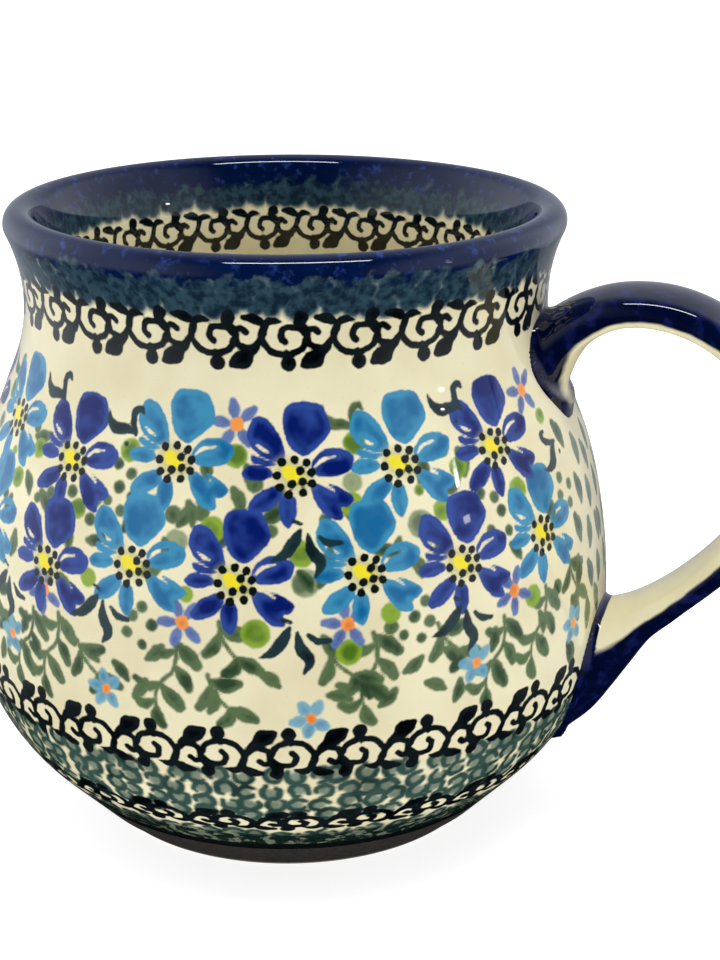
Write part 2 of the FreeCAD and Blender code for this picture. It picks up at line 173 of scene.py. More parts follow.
# ---------------------------------------------------------------- meshes
def grid_mesh(name, points, normals, closed):
    """Mesh from a grid of points in millimetres: rows run along it, columns go round it."""
    rows, columns = points.shape[:2]
    index = np.arange(rows * columns).reshape(rows, columns)
    right = np.roll(index, -1, axis=1)
    if not closed:
        index, right = index[:, :-1], right[:, :-1]
    faces = np.stack([index[:-1], right[:-1], right[1:], index[1:]], -1).reshape(-1, 4)
    mesh = bpy.data.meshes.new(name)
    mesh.vertices.add(rows * columns)
    mesh.vertices.foreach_set("co", (points.reshape(-1) * MM).astype(np.float32))
    mesh.loops.add(faces.size)
    mesh.loops.foreach_set("vertex_index", faces.reshape(-1).astype(np.int32))
    mesh.polygons.add(len(faces))
    mesh.polygons.foreach_set("loop_start", np.arange(0, faces.size, 4, dtype=np.int32))
    mesh.update(calc_edges=True)
    mesh.polygons.foreach_set("use_smooth", np.ones(len(faces), dtype=bool))
    # The texture layout is the grid laid flat.
    across = np.arange(columns + closed) / (columns - 1 + closed)
    upward = np.arange(rows) / (rows - 1)
    left = np.tile(np.arange(columns - 1 + closed), rows - 1)
    low = np.repeat(np.arange(rows - 1), columns - 1 + closed)
    corners_u = across[np.stack([left, left + 1, left + 1, left], -1)]
    corners_v = upward[np.stack([low, low, low + 1, low + 1], -1)]
    layout = mesh.uv_layers.new(name="OFBake")
    corners = np.stack([corners_u, corners_v], -1).reshape(-1)
    layout.uv.foreach_set("vector", corners.astype(np.float32))
    if normals is not None:
        mesh.normals_split_custom_set_from_vertices(normals.reshape(-1, 3).tolist())
    return add_object(name, mesh)


class Skin:
    """A surface of revolution with the paint on it.

    The grid's rows follow the profile and its columns go round. Each pigment has a layer
    that holds, for each vertex, how many millimetres it lies inside the painted shapes.
    """

    BARE = -3.0

    def __init__(self, profile, columns, facing):
        self.profile = profile
        self.columns = columns
        self.facing = facing
        step = np.diff(profile, axis=0)
        self.length = np.concatenate([[0], np.cumsum(np.hypot(step[:, 0], step[:, 1]))])
        slope = np.gradient(profile, self.length, axis=0)
        slope /= np.linalg.norm(slope, axis=1)[:, None]
        self.angle = np.linspace(-180, 180, columns, endpoint=False)
        cosine = np.cos(np.radians(self.angle))[None]
        sine = np.sin(np.radians(self.angle))[None]
        radius, height = profile[:, :1], profile[:, 1:]
        level = np.ones_like(cosine)
        self.points = np.stack([AXIS_X + radius * cosine, radius * sine, height * level], -1)
        out, up = slope[:, 1:], -slope[:, :1]
        self.normals = np.stack([out * cosine, out * sine, up * level], -1)
        self.layers = {}

    def paint(self, motif, angle, height, reach, lean=0.0, size=1.0):
        """Print a motif. It is drawn in millimetres, x to the right and y up, seen from its side."""
        order = np.argsort(self.profile[:, 1])
        place = np.interp(height, self.profile[order, 1], self.length[order])
        rows = np.nonzero(np.abs(self.length - place) < reach * size)[0]
        radius = self.profile[rows, 0]
        turn = (self.angle - angle + 180) % 360 - 180
        near = np.nonzero(np.abs(np.radians(turn)) * radius.min() < reach * size)[0]
        x = self.facing * np.radians(turn[near])[None] * radius[:, None] / size
        y = self.facing * (self.length[rows] - place)[:, None] / size + np.zeros_like(x)
        cosine, sine = math.cos(math.radians(lean)), math.sin(math.radians(lean))
        x, y = x * cosine + y * sine, y * cosine - x * sine
        cells = np.ix_(rows, near)
        for name, depth in motif(x, y).items():
            layer = self.layer(name)
            layer[cells] = np.maximum(layer[cells], depth * size)

    def layer(self, name):
        if name not in self.layers:
            self.layers[name] = np.full(self.points.shape[:2], self.BARE, dtype=np.float32)
        return self.layers[name]

    def build(self, name, parts=1):
        """The mesh, cut into equal parts round the bowl if there is more than one."""
        pieces = []
        share = self.columns // parts
        for part in range(parts):
            closed = parts == 1
            columns = np.arange(part * share, (part + 1) * share + (not closed)) % self.columns
            label = name if closed else f"{name}_{part + 1}"
            item = grid_mesh(label, self.points[:, columns], self.normals[:, columns], closed)
            for layer, depth in self.layers.items():
                store(item, layer, depth[:, columns])
            pieces.append(item)
        return pieces


def store(item, name, values):
    """Keep one number per vertex for the material."""
    attribute = item.data.attributes.new(name, "FLOAT", "POINT")
    attribute.data.foreach_set("value", np.ascontiguousarray(values, dtype=np.float32).reshape(-1))


# ---------------------------------------------------------------- brush shapes
def soften(points, closed):
    """Round off a path's corners, twice over, by cutting a fifth off each side of them."""
    points = np.array(points, dtype=float)
    for _ in range(2):
        before = points if closed else points[:-1]
        after = np.roll(points, -1, axis=0) if closed else points[1:]
        cut = np.stack([before * 0.8 + after * 0.2, before * 0.2 + after * 0.8], 1)
        cut = cut.reshape(-1, points.shape[1])
        points = cut if closed else np.concatenate([points[:1], cut, points[-1:]])
    return points


def stroke(x, y, *points):
    """Depth inside a brush stroke through points (x, y, half width)."""
    path = soften(points, False)
    best = np.full(x.shape, -9.0)
    for (ax, ay, start), (bx, by, end) in zip(path[:-1], path[1:]):
        dx, dy = bx - ax, by - ay
        share = np.clip(((x - ax) * dx + (y - ay) * dy) / (dx * dx + dy * dy), 0, 1)
        reach = np.hypot(x - ax - share * dx, y - ay - share * dy)
        best = np.maximum(best, start + (end - start) * share - reach)
    return best


def blot(x, y, *points):
    """Depth inside a rounded outline."""
    path = soften(points, True)
    nearest = np.full(x.shape, 9.0)
    inside = np.zeros(x.shape, dtype=bool)
    for (ax, ay), (bx, by) in zip(path, np.roll(path, -1, axis=0)):
        dx, dy = bx - ax, by - ay
        share = np.clip(((x - ax) * dx + (y - ay) * dy) / (dx * dx + dy * dy), 0, 1)
        nearest = np.minimum(nearest, np.hypot(x - ax - share * dx, y - ay - share * dy))
        spans = (ay > y) != (by > y)
        inside ^= spans & (((x - ax) * dy < (y - ay) * dx) ^ (dy < 0))
    return np.where(inside, nearest, -nearest)


def dot(x, y, across, up, radius):
    return radius - np.hypot(x - across, y - up)


def most(*depths):
    return np.maximum.reduce(depths)


# ---------------------------------------------------------------- motifs
PETALS = (
    ((-1.9, 7.4), (-1.2, 9.5), (1.0, 9.9), (3.5, 9.5), (4.9, 6.0), (3.0, 3.9), (1.2, 2.4), (-0.9, 3.8)),
    ((-5.6, 7.8), (-3.6, 7.3), (-1.8, 4.6), (-1.3, 1.9), (-3.6, 1.9), (-5.8, 3.3), (-6.6, 5.2)),
    ((-6.0, 2.6), (-4.2, 1.9), (-2.2, 1.5), (-3.6, 1.0), (-5.8, 1.6)),
    ((-7.2, 0.2), (-5.7, 1.2), (-3.4, 0.8), (-2.8, -0.1), (-4.6, -0.9), (-6.6, -0.8)),
    ((-6.4, -4.6), (-5.0, -2.5), (-1.9, -1.2), (-1.6, -3.0), (-3.4, -4.8), (-5.6, -5.4)),
    ((-1.5, -2.6), (0.1, -2.9), (0.3, -5.2), (-0.7, -7.3), (-1.8, -6.2), (-2.1, -4.3)),
    ((1.9, -1.1), (5.2, -1.2), (8.2, -3.1), (7.1, -4.3), (6.1, -4.1), (6.7, -6.1), (4.5, -5.7), (2.8, -3.6)),
    ((2.0, 1.5), (3.6, 3.4), (5.9, 3.7), (8.0, 2.5), (7.4, 0.5), (5.2, -0.2), (2.7, -0.1)),
)
GLINTS = (
    ((2.7, 1.2, 0.16), (3.5, 2.1, 0.3), (5.3, 2.5, 0.14)),
    ((2.6, -0.8, 0.16), (3.8, -1.0, 0.3), (5.3, -2.1, 0.12)),
    ((-5.2, 3.9, 0.12), (-4.4, 3.3, 0.3), (-3.6, 3.0, 0.14)),
)
SEEDS = (
    (-0.1, 2.1), (1.5, 1.7), (-1.8, 1.7), (0.7, 0.6), (2.2, 0.4), (-2.4, -0.1), (1.0, -0.8),
    (2.3, -1.1), (-0.4, -1.2), (-2.0, -1.7), (1.1, -2.3), (-0.8, -2.6),
)


def flower(colour):
    """A stamped flower: lobed petals with bare glints, a yellow eye and a dozen dark seeds."""
    def draw(x, y):
        petals = most(*(blot(x, y, *petal) for petal in PETALS)) + 0.1
        glints = most(*(stroke(x, y, *glint) for glint in GLINTS))
        eye = stroke(x, y, (-1.3, 0.9, 0.5), (-0.6, 0.2, 1.1), (0.9, -0.6, 0.6))
        seeds = most(*(dot(x, y, across, up, 0.62) for across, up in SEEDS))
        return {colour: np.minimum(petals, -glints), "eye": eye, "seed": seeds}
    return draw


def small_flower(colour, broad):
    """Five small oval petals round an orange blob."""
    def draw(x, y):
        petals = []
        for turn in (100, 42, 172, 238, 306):
            cosine, sine = math.cos(math.radians(turn)), math.sin(math.radians(turn))
            widths = ((1.0, 0.45), (2.2, 0.95 * broad), (3.4, 0.6 * broad))
            petals.append(stroke(x, y, *((out * cosine, out * sine, half) for out, half in widths)))
        eye = blot(x, y, (-1.1, 0.8), (0.9, 1.2), (1.2, -0.7), (-0.6, -1.2))
        return {colour: most(*petals), "orange": eye}
    return draw


def round_dab(colour, radius):
    def draw(x, y):
        return {colour: dot(x, y, 0, 0, radius)}
    return draw


def squiggle(colour):
    """A fat leaf that ends in a curled tendril."""
    def draw(x, y):
        fat_leaf = stroke(x, y, (-2.7, 1.7, 0.15), (-2.3, 0.3, 0.5), (-1.0, -0.7, 0.9),
                          (0.7, -0.4, 0.75), (2.2, -0.9, 0.2))
        curl = stroke(x, y, (2.3, -1.0, 0.35), (1.6, 0.5, 0.5), (1.5, 2.0, 0.55),
                      (2.4, 2.6, 0.5), (3.0, 1.8, 0.2))
        return {colour: most(fat_leaf, curl, dot(x, y, 1.1, -2.5, 0.36))}
    return draw


def spray(x, y):
    """Three comma leaves and a tick that part at one point."""
    big = stroke(x, y, (-0.5, 1.6, 0.2), (-1.2, 0.2, 0.85), (-2.6, -1.7, 0.75), (-4.5, -2.5, 0.1))
    curved = stroke(x, y, (0.4, 0.9, 0.25), (0.8, -1.3, 0.85), (2.2, -2.8, 0.8), (1.3, -4.6, 0.2))
    short = stroke(x, y, (1.8, 0.6, 0.25), (3.0, -0.4, 0.55), (4.7, -0.3, 0.3))
    tick = stroke(x, y, (-1.4, 2.6, 0.3), (-0.4, 2.3, 0.25))
    return {"teal": most(big, curved, short, tick)}


def long_vine(x, y):
    """A hanging sprig with seven leaves."""
    return {"green": most(
        stroke(x, y, (0, 0, 0.3), (0.2, -2.2, 0.27), (-0.3, -4.4, 0.25), (-2.0, -5.8, 0.24),
               (-2.9, -7.6, 0.22), (-2.7, -10.4, 0.2)),
        stroke(x, y, (0.4, -0.6, 0.35), (1.7, -1.9, 1.15), (2.9, -3.2, 0.7)),
        stroke(x, y, (-0.2, -1.6, 0.3), (-1.6, -2.2, 0.8), (-2.7, -1.6, 0.6)),
        stroke(x, y, (0.0, -3.6, 0.3), (1.2, -5.0, 1.0), (1.8, -6.4, 0.6)),
        stroke(x, y, (-2.1, -6.1, 0.3), (-3.8, -6.9, 0.8), (-5.6, -5.9, 0.45)),
        stroke(x, y, (-1.9, -6.4, 0.35), (-0.6, -7.9, 1.15), (0.5, -9.2, 0.7)),
        stroke(x, y, (-3.1, -8.6, 0.3), (-4.4, -9.5, 0.8), (-5.7, -8.6, 0.5)),
        stroke(x, y, (-2.7, -9.6, 0.35), (-2.7, -10.9, 1.05), (-1.9, -12.0, 0.6)),
    ) + 0.05}


def short_vine(x, y):
    """A hanging sprig with four leaves."""
    return {"green": most(
        stroke(x, y, (0, 0.4, 0.27), (0.6, -1.6, 0.25), (1.8, -3.1, 0.24), (3.0, -4.2, 0.22)),
        stroke(x, y, (0.3, -0.3, 0.3), (2.2, -0.9, 1.15), (3.9, -0.5, 0.6)),
        stroke(x, y, (0.2, -1.3, 0.35), (-0.2, -2.9, 0.9), (-1.2, -4.0, 0.6)),
        stroke(x, y, (2.8, -4.0, 0.35), (2.8, -5.3, 0.95), (1.6, -6.1, 0.65)),
        stroke(x, y, (3.0, -3.9, 0.35), (4.6, -4.6, 1.05), (6.0, -5.3, 0.55)),
    ) + 0.05}


def leaf(x, y):
    return {"green": stroke(x, y, (0, -1.6, 0.4), (0.2, 0, 1.15), (-0.2, 1.6, 0.5))}


def sponge_ring(x, y):
    """The print of a torn sponge: a ring that doesn't close, round a thinner middle."""
    ring_depth = stroke(x, y, (1.1, -0.5, 0.4), (0.9, -1.2, 0.5), (-0.9, -1.2, 0.55),
                        (-1.4, 0.2, 0.5), (-0.3, 1.3, 0.55), (1.2, 0.9, 0.45))
    return {"dab": ring_depth, "dab_core": dot(x, y, -0.1, -0.1, 1.0)}


def lace(x, y):
    """One repeat of the black scrollwork, knob up: a hooped scroll beside a small one."""
    line = 0.5
    return {"lace": most(
        stroke(x, y, (3.2, -5.9, line), (3.9, -3.6, line), (2.4, -1.6, line), (0.2, -1.2, line),
               (-2.0, -2.0, line), (-2.9, -4.5, line), (-1.7, -5.9, 0.5), (-1.5, -7.0, 0.7)),
        stroke(x, y, (-2.3, -4.4, line), (-1.4, -5.3, 0.5), (0.7, -5.3, line),
               (1.1, -3.7, line), (0.4, -3.1, 0.5)),
        stroke(x, y, (0.3, -1.6, 0.45), (0.2, -0.7, 0.6), (0.0, 0.0, 1.1)),
        stroke(x, y, (-1.3, -6.0, 0.6), (-1.8, -6.8, 1.05)),
        stroke(x, y, (3.4, -5.8, line), (2.2, -6.4, 0.7), (0.7, -6.0, 0.1)),
        stroke(x, y, (-2.3, -3.2, line), (-3.5, -2.4, line), (-5.0, -2.2, line),
               (-6.3, -3.6, 0.5), (-7.0, -5.8, 0.5)),
        stroke(x, y, (-2.8, -3.2, line), (-2.5, -4.6, line), (-3.4, -5.2, line), (-4.2, -4.5, 0.5)),
        stroke(x, y, (-6.1, -3.4, 0.35), (-5.2, -2.0, 0.7), (-4.4, -1.2, 0.6)),
        blot(x, y, (-1.3, 0.8), (-2.1, -1.4), (-3.8, -2.2), (-5.4, -2.0), (-4.7, 0.8)),
        stroke(x, y, (-3.8, -6.8, 0.4), (-5.5, -6.6, 0.95), (-6.9, -5.6, 0.3)),
    )}


def flat_lace(x, y):
    """The scrollwork pressed flatter and with fatter lines."""
    return {"lace": lace(x, y / 0.7)["lace"] + 0.2}


# ---------------------------------------------------------------- the painted bowl
QUARTER_COLUMNS, INSIDE_COLUMNS, FOOT_COLUMNS = 280, 640, 360
outside = Skin(outside_profile(0.33), 4 * QUARTER_COLUMNS, 1)
inside = Skin(inside_profile(0.36, 1.4), INSIDE_COLUMNS, -1)
chance = np.random.default_rng(7)


def bowl_radius(height):
    order = np.argsort(outside.profile[:, 1])
    return np.interp(height, outside.profile[order, 1], outside.profile[order, 0])


def band(skin, motif, count, height, start, **options):
    """Print a lace motif at equal steps all the way round."""
    for number in range(count):
        skin.paint(motif, start + number * 360 / count, height, LACE_REACH, **options)


# Scrollwork hangs from the lip's sponged band, stands round the foot of the belly, and goes
# round once more inside the neck.
LACE_REACH = 9.5
band(outside, lace, count=26, height=82.9, start=-71.9, lean=180, size=0.99)
band(outside, lace, count=32, height=32.0, start=-72.6)
band(outside, flat_lace, count=28, height=16.9, start=-71.0, size=0.94)
band(inside, lace, count=26, height=83.4, start=-66.0, lean=180, size=0.86)

# Flowers in two rows, as (angle, height). The first of each row is the last on the left of the
# visible side. The far side goes on from it at even steps, to the mirror image of the flower
# nearest the handle.
TOP_ROW = ((-114.8, 67.0), (-92.7, 69.4), (-71.0, 68.2), (-51.7, 68.7), (-31.0, 68.5))
LOW_ROW = ((-116.6, 52.0), (-98.6, 55.0), (-80.8, 54.0), (-59.8, 54.9), (-42.3, 54.1), (-23.5, 54.7))
FLOWER_REACH, FLOWER_SIZE = 11.5, 1.03


def flower_row(row, far_steps, colours):
    first, last = row[0][0], row[-1][0]
    gap = (360 - (last - first) + 2 * last) / far_steps
    far = [(first - gap * number, row[number % 4][1]) for number in range(1, far_steps + 1)]
    for number, (angle, height) in enumerate(far[::-1] + list(row)):
        motif = flower(colours[(number - far_steps) % 2])
        lean = chance.uniform(-4, 4)
        outside.paint(motif, angle, height, FLOWER_REACH, lean=lean, size=FLOWER_SIZE)


flower_row(TOP_ROW, 10, ("cobalt", "azure"))
flower_row(LOW_ROW, 11, ("cobalt", "azure"))

# What grows between the flowers: motif, reach, size and places (angle, height, lean), and for
# the round dabs (angle, height, radius). The stretch left of STRETCH_END comes back round the
# far side; what lies right of it comes again on the handle's other side.
STRETCH, STRETCH_END, FAR_END = 84.3, -31.7, -329
LEAF_REACH, DAB_REACH = 3, 3
GROWTH = (
    (small_flower("small_blue", 1.0), 6, 0.95, (
        (-81.8, 74.6, 0), (-89.5, 47.9, 10), (-63.2, 48.0, 0), (-32.4, 48.2, 30), (-18.7, 74.3, 0))),
    (small_flower("small_azure", 1.45), 6, 0.74, (
        (-103.0, 36.2, 0), (-69.1, 34.4, 20), (-41.1, 39.3, 0), (-16.4, 38.8, 0))),
    (squiggle("teal"), 5, 1.05, ((-104.7, 73.1, 0), (-40.2, 75.4, 0), (-15.5, 64.5, 60))),
    (squiggle("green"), 5, 1.0, ((-62.4, 75.0, -10),)),
    (spray, 7, 1.08, ((-69.6, 59.6, 0), (-104.4, 48.2, -8), (-71.6, 46.2, 0), (-43.3, 46.6, -8))),
    (long_vine, 14, 1.1, (
        (-90.5, 45.4, 0), (-59.0, 46.5, 8), (-35.0, 45.0, -4), (-24.5, 47.0, -6), (-113.0, 45.6, 0))),
    (short_vine, 9, 1.12, (
        (-83.5, 48.0, -6), (-85.2, 40.2, 0), (-66.4, 44.5, 8), (-48.0, 46.0, 4),
        (-108.6, 42.0, 8), (-16.5, 49.0, -14))),
    (leaf, LEAF_REACH, 1.0, (
        (-80.8, 65.0, 20), (-90.0, 62.4, -30), (-106.0, 41.0, 60), (-94.0, 43.0, -50), (-64.5, 37.5, 70),
        (-52.5, 41.0, -60), (-66.2, 45.0, 20), (-100.0, 39.5, 40), (-37.4, 42.0, -20), (-26.0, 42.0, 10),
        (-75.4, 40.4, 50), (-112.0, 50.0, 30), (-45.6, 41.4, 40), (-74.4, 65.0, -40), (-57.4, 60.4, 30),
        (-87.0, 64.6, 20), (-83.0, 60.0, -30), (-92.6, 57.6, 10), (-66.0, 57.0, -20), (-50.8, 55.0, 20),
        (-46.4, 57.6, -30), (-41.0, 62.0, 30), (-60.6, 38.4, 30), (-56.8, 36.6, -50), (-48.6, 37.4, 60),
        (-44.6, 35.8, -20), (-37.0, 37.6, 40), (-96.6, 37.4, -40), (-90.6, 36.4, 50), (-84.4, 36.6, -20))),
)
SIDE_LEAVES = (
    (-10.4, 66.5, 14), (-4.6, 63.0, -8), (-8.2, 57.8, 4), (-3.2, 56.0, -6), (-11.4, 52.6, 10),
    (-6.4, 50.4, -12), (-1.0, 50.0, 8), (-13.4, 46.2, -16), (-8.0, 44.4, 12), (-3.0, 44.0, -8),
    (-15.4, 41.0, 20), (-10.4, 38.6, -10), (-17.4, 34.4, 14), (-5.4, 39.6, 10), (-20.4, 57.6, 16),
    (0.0, 61.0, 4),
)
DABS = {
    "green": (
        (-104, 68, 0.9), (-101, 67, 0.9), (-103, 65, 1.0), (-100, 64, 1.05), (-102, 62, 0.9),
        (-105, 63, 0.8), (-108, 60, 1.0), (-105, 58, 0.8), (-92, 62.5, 1.3), (-87, 63, 1.2),
        (-81, 63, 1.0), (-78, 67, 1.2), (-113, 63, 1.0), (-98, 48, 0.9), (-99, 45.5, 0.9),
        (-94.6, 47, 0.95), (-96.4, 49.4, 0.9), (-96.2, 44, 0.8), (-48, 59, 1.0), (-53, 51, 1.1),
        (-52, 48, 0.95), (-50, 50, 0.9), (-49.4, 47, 0.95), (-56, 47, 1.1), (-54, 45.6, 0.8),
        (-51, 44.8, 0.8), (-37, 63, 1.0), (-34, 62, 0.9), (-37.4, 60.6, 0.8), (-33, 60, 0.95),
        (-36, 57.8, 0.8), (-32, 57, 0.85), (-30, 60.6, 0.9), (-15, 61, 0.9), (-12, 59.4, 0.9),
        (-16, 58.6, 0.9), (-13, 56.8, 0.9), (-21, 46, 1.2), (-75, 61, 0.9), (-66, 62.4, 0.9),
        (-57, 61.6, 0.9), (-43, 69.5, 0.9)),
    "lime": (
        (-102, 70, 1.7), (-111, 61, 1.5), (-85, 61, 1.85), (-81.6, 70.6, 1.7), (-89, 52, 1.2),
        (-107, 52, 1.4), (-77.6, 47, 2.1), (-60, 72, 1.6), (-61.4, 64.2, 1.7), (-70.2, 58, 1.9),
        (-49, 65, 0.8), (-45, 62, 1.6), (-56, 49, 1.5), (-40.4, 67, 1.5), (-28, 62, 1.8),
        (-15, 70, 1.2), (-28, 46.4, 1.7), (-63, 44, 1.9)),
    "sage": (
        (-91, 59, 1.7), (-61, 67, 1.4), (-69.6, 54, 2.0), (-49.6, 60.6, 2.0), (-79, 61, 1.3),
        (-99, 60, 1.4)),
}


def laps(angle):
    """The angles at which something painted at one angle comes again."""
    if angle > STRETCH_END:
        return [angle, -angle]
    return [angle - lap * STRETCH for lap in range(4) if angle - lap * STRETCH > FAR_END]


def grow(motif, reach, size, places):
    for angle, height, lean in places:
        for where in laps(angle):
            outside.paint(motif, where, height, reach, lean=lean, size=size)


for growth in GROWTH:
    grow(*growth)
grow(leaf, LEAF_REACH, 1.3, SIDE_LEAVES)
for colour, places in DABS.items():
    for angle, height, radius in places:
        for where in laps(angle):
            outside.paint(round_dab(colour, radius), where, height, DAB_REACH)

# Leaves behind the flowers show only in the gaps between them.
GAP_LEAVES, GAP_START, GAP_SPAN = 64, -29, 302
for number in range(GAP_LEAVES):
    angle = GAP_START - number * GAP_SPAN / GAP_LEAVES + chance.uniform(-2, 2)
    outside.paint(leaf, angle, chance.uniform(50, 70), LEAF_REACH,
                  lean=chance.uniform(-80, 80), size=chance.uniform(0.85, 1.2))

# Torn sponge rings between the two lower bands.
RING_SPACING, RING_REACH = 3.5, 2.4
for level, height in enumerate((24.6, 21.8, 19.2, 16.8, 11.4)):
    count = round(2 * math.pi * bowl_radius(height) / RING_SPACING)
    for number in range(count):
        angle = (number + 0.5 * (level % 2) + chance.uniform(-0.22, 0.22)) * 360 / count
        outside.paint(sponge_ring, angle, height + chance.uniform(-0.4, 0.4), RING_REACH,
                      lean=chance.uniform(-180, 180), size=chance.uniform(0.95, 1.18))

# Overlapping round sponge dabs under the lip, outside and inside.
LIP_DABS, LIP_LEVELS, LIP_RISE, LIP_REACH = 96, 4, 1.1, 2.2
for skin, lowest in ((outside, 91.0), (inside, 91.3)):
    for level in range(LIP_LEVELS):
        for number in range(LIP_DABS):
            angle = (number + 0.5 * (level % 2) + chance.uniform(-0.3, 0.3)) * 360 / LIP_DABS
            skin.paint(round_dab("sponge", chance.uniform(1.4, 1.9)), angle,
                       lowest + LIP_RISE * level + chance.uniform(-0.4, 0.4), LIP_REACH)

outside_pieces = outside.build("bowl_outside", 4)
inside_pieces = inside.build("bowl_inside")
foot_pieces = Skin(foot_profile(0.4)[::-1], FOOT_COLUMNS, 1).build("foot_ring")

# ---------------------------------------------------------------- handle
# The strap lies in one plane: distance from the bowl's axis and height. Each section has an
# inner and an outer point, a half width, and a paint line where the cream of the inner side
# ends: -1 at the strap's inner face, 1 at its outer face.
CROOK = (56.0, 72.85)
BOW, BOW_R, LOWER_RUN = (56.0, 63.4), 21.68, 13.0
STRAP_HALF, STRAP_TOP, STRAP_LOW, FULLNESS = 7.3, 2.9, 2.6, 0.69
HANDLE_ROWS, HANDLE_COLUMNS = 420, 96
# The slip's fillet, how deep the strap's ends are buried, and the navy edge of the lower joint.
SLIP_R, BURIED, JOINT_EDGE = 1.6, 1.2, 1.1
# Round the crook: angle, inner radius, outer radius, half width, paint line.
UPPER_ROOT = (
    (205, 13.2, 27.0, 5.2, -1.15), (190, 11.7, 25.0, 6.4, -0.97), (175, 10.7, 22.5, 7.2, -0.86),
    (160, 10.2, 20.0, 7.5, -0.76), (144, 9.9, 17.8, 7.5, -0.66), (128, 9.55, 16.5, 7.4, -0.56),
    (110, 9.35, 15.6, 7.3, -0.46),
)
# Round the bow: angle, paint line.
BOW_SECTIONS = (
    (90, -0.38), (68, -0.34), (45, -0.3), (22, -0.25), (0, -0.22), (-22, -0.22), (-45, -0.25),
)
# Down the fishtail: inner point, outer point, half width, paint line.
LOWER_ROOT = (
    ((55.7, 37.9), (59.6, 32.6), 7.5, -0.15), ((53.0, 37.1), (56.6, 27.9), 8.0, -0.15),
    ((50.4, 36.5), (53.9, 23.6), 8.7, -0.25), ((47.0, 36.0), (50.8, 19.1), 9.2, -0.4),
    ((43.2, 35.4), (47.4, 16.0), 9.3, -0.6), ((39.4, 34.8), (43.4, 14.4), 9.1, -0.9),
)


def strap_sections():
    """Rows of inner x, inner z, outer x, outer z, half width, paint line."""
    rows = []
    for angle, near, far, half, line in UPPER_ROOT:
        rows.append((*polar(CROOK, near, angle), *polar(CROOK, far, angle), half, line))
    for number, (angle, line) in enumerate(BOW_SECTIONS):
        thick = STRAP_TOP + (STRAP_LOW - STRAP_TOP) * number / (len(BOW_SECTIONS) - 1)
        near, far = polar(BOW, BOW_R - thick, angle), polar(BOW, BOW_R + thick, angle)
        rows.append((*near, *far, STRAP_HALF, line))
    # Half way down the straight run that leaves the bow at 45 degrees.
    out = math.sqrt(0.5)
    mid = (BOW[0] + (BOW_R - LOWER_RUN) * out, BOW[1] - (BOW_R + LOWER_RUN) * out)
    near = (mid[0] - STRAP_LOW * out, mid[1] + STRAP_LOW * out)
    far = (mid[0] + STRAP_LOW * out, mid[1] - STRAP_LOW * out)
    rows.append((*near, *far, STRAP_HALF, -0.25))
    for near, far, half, line in LOWER_ROOT:
        rows.append((*near, *far, half, line))
    return np.array(rows)


def spline(rows, count):
    """Resample rows by a smooth curve through them, evenly by their mid points' distance."""
    middle = (rows[:, 0:2] + rows[:, 2:4]) / 2
    reach = np.concatenate([[0], np.cumsum(np.hypot(*np.diff(middle, axis=0).T))])
    slope = np.gradient(rows, reach, axis=0)
    wanted = np.linspace(0, reach[-1], count)
    left = np.clip(np.searchsorted(reach, wanted, side="right") - 1, 0, len(rows) - 2)
    span = (reach[left + 1] - reach[left])[:, None]
    t = ((wanted - reach[left])[:, None]) / span
    return ((2 * t**3 - 3 * t**2 + 1) * rows[left] + (t**3 - 2 * t**2 + t) * span * slope[left]
            + (3 * t**2 - 2 * t**3) * rows[left + 1] + (t**3 - t**2) * span * slope[left + 1])


def flat_oval(half_width, half_thick, around):
    """A flat oval of four tangent arcs: across and outward offsets, and their normals."""
    count = around // 4
    side = half_thick**2 / half_width * (1 - FULLNESS) + half_thick * FULLNESS
    # The end arc's centre is at half_width - side; the face arc is centred on the axis below.
    lift = ((half_width - side)**2 - (half_thick - side)**2) / (2 * (half_thick - side))
    face = half_thick + lift
    turn = math.atan2(lift, half_width - side)
    end_angles = np.linspace(0, turn, count // 2, endpoint=False)
    face_angles = np.linspace(turn, math.pi / 2, count - count // 2, endpoint=False)
    across = np.concatenate([half_width - side + side * np.cos(end_angles), face * np.cos(face_angles)])
    out = np.concatenate([side * np.sin(end_angles), face * np.sin(face_angles) - lift])
    facing = np.concatenate([end_angles, face_angles])
    quarter = np.stack([across, out, np.cos(facing), np.sin(facing)], -1)
    top = [[0, half_thick, 0, 1]]
    second = quarter[1:][::-1] * [-1, 1, -1, 1]
    left = quarter[0:1] * [-1, 1, -1, 1]
    upper = np.concatenate([quarter, top, second, left])
    lower = upper[1:-1][::-1] * [1, -1, 1, -1]
    return np.concatenate([upper, lower])


def make_handle():
    sections = spline(strap_sections(), HANDLE_ROWS)
    points, paint = [], []
    for near_x, near_z, far_x, far_z, half, line in sections:
        thick = math.hypot(far_x - near_x, far_z - near_z) / 2
        out = np.array([far_x - near_x, 0, far_z - near_z]) / (2 * thick)
        middle = np.array([(near_x + far_x) / 2, 0, (near_z + far_z) / 2])
        # The oval's arcs need it wider than thick; a thicker section is squeezed back after.
        wide = max(half, thick * 1.02)
        oval = flat_oval(wide, thick, HANDLE_COLUMNS)
        oval[:, 0] *= half / wide
        points.append(middle + oval[:, :1] * np.array([0, 1, 0]) + oval[:, 1:2] * out)
        paint.append(line - oval[:, 1] / thick)
    points, paint = np.array(points), np.array(paint)
    along = np.gradient(points, axis=0)
    around = np.roll(points, -1, axis=1) - np.roll(points, 1, axis=1)
    normals = np.cross(around, along)
    normals /= np.linalg.norm(normals, axis=2)[..., None]
    return points, normals, paint


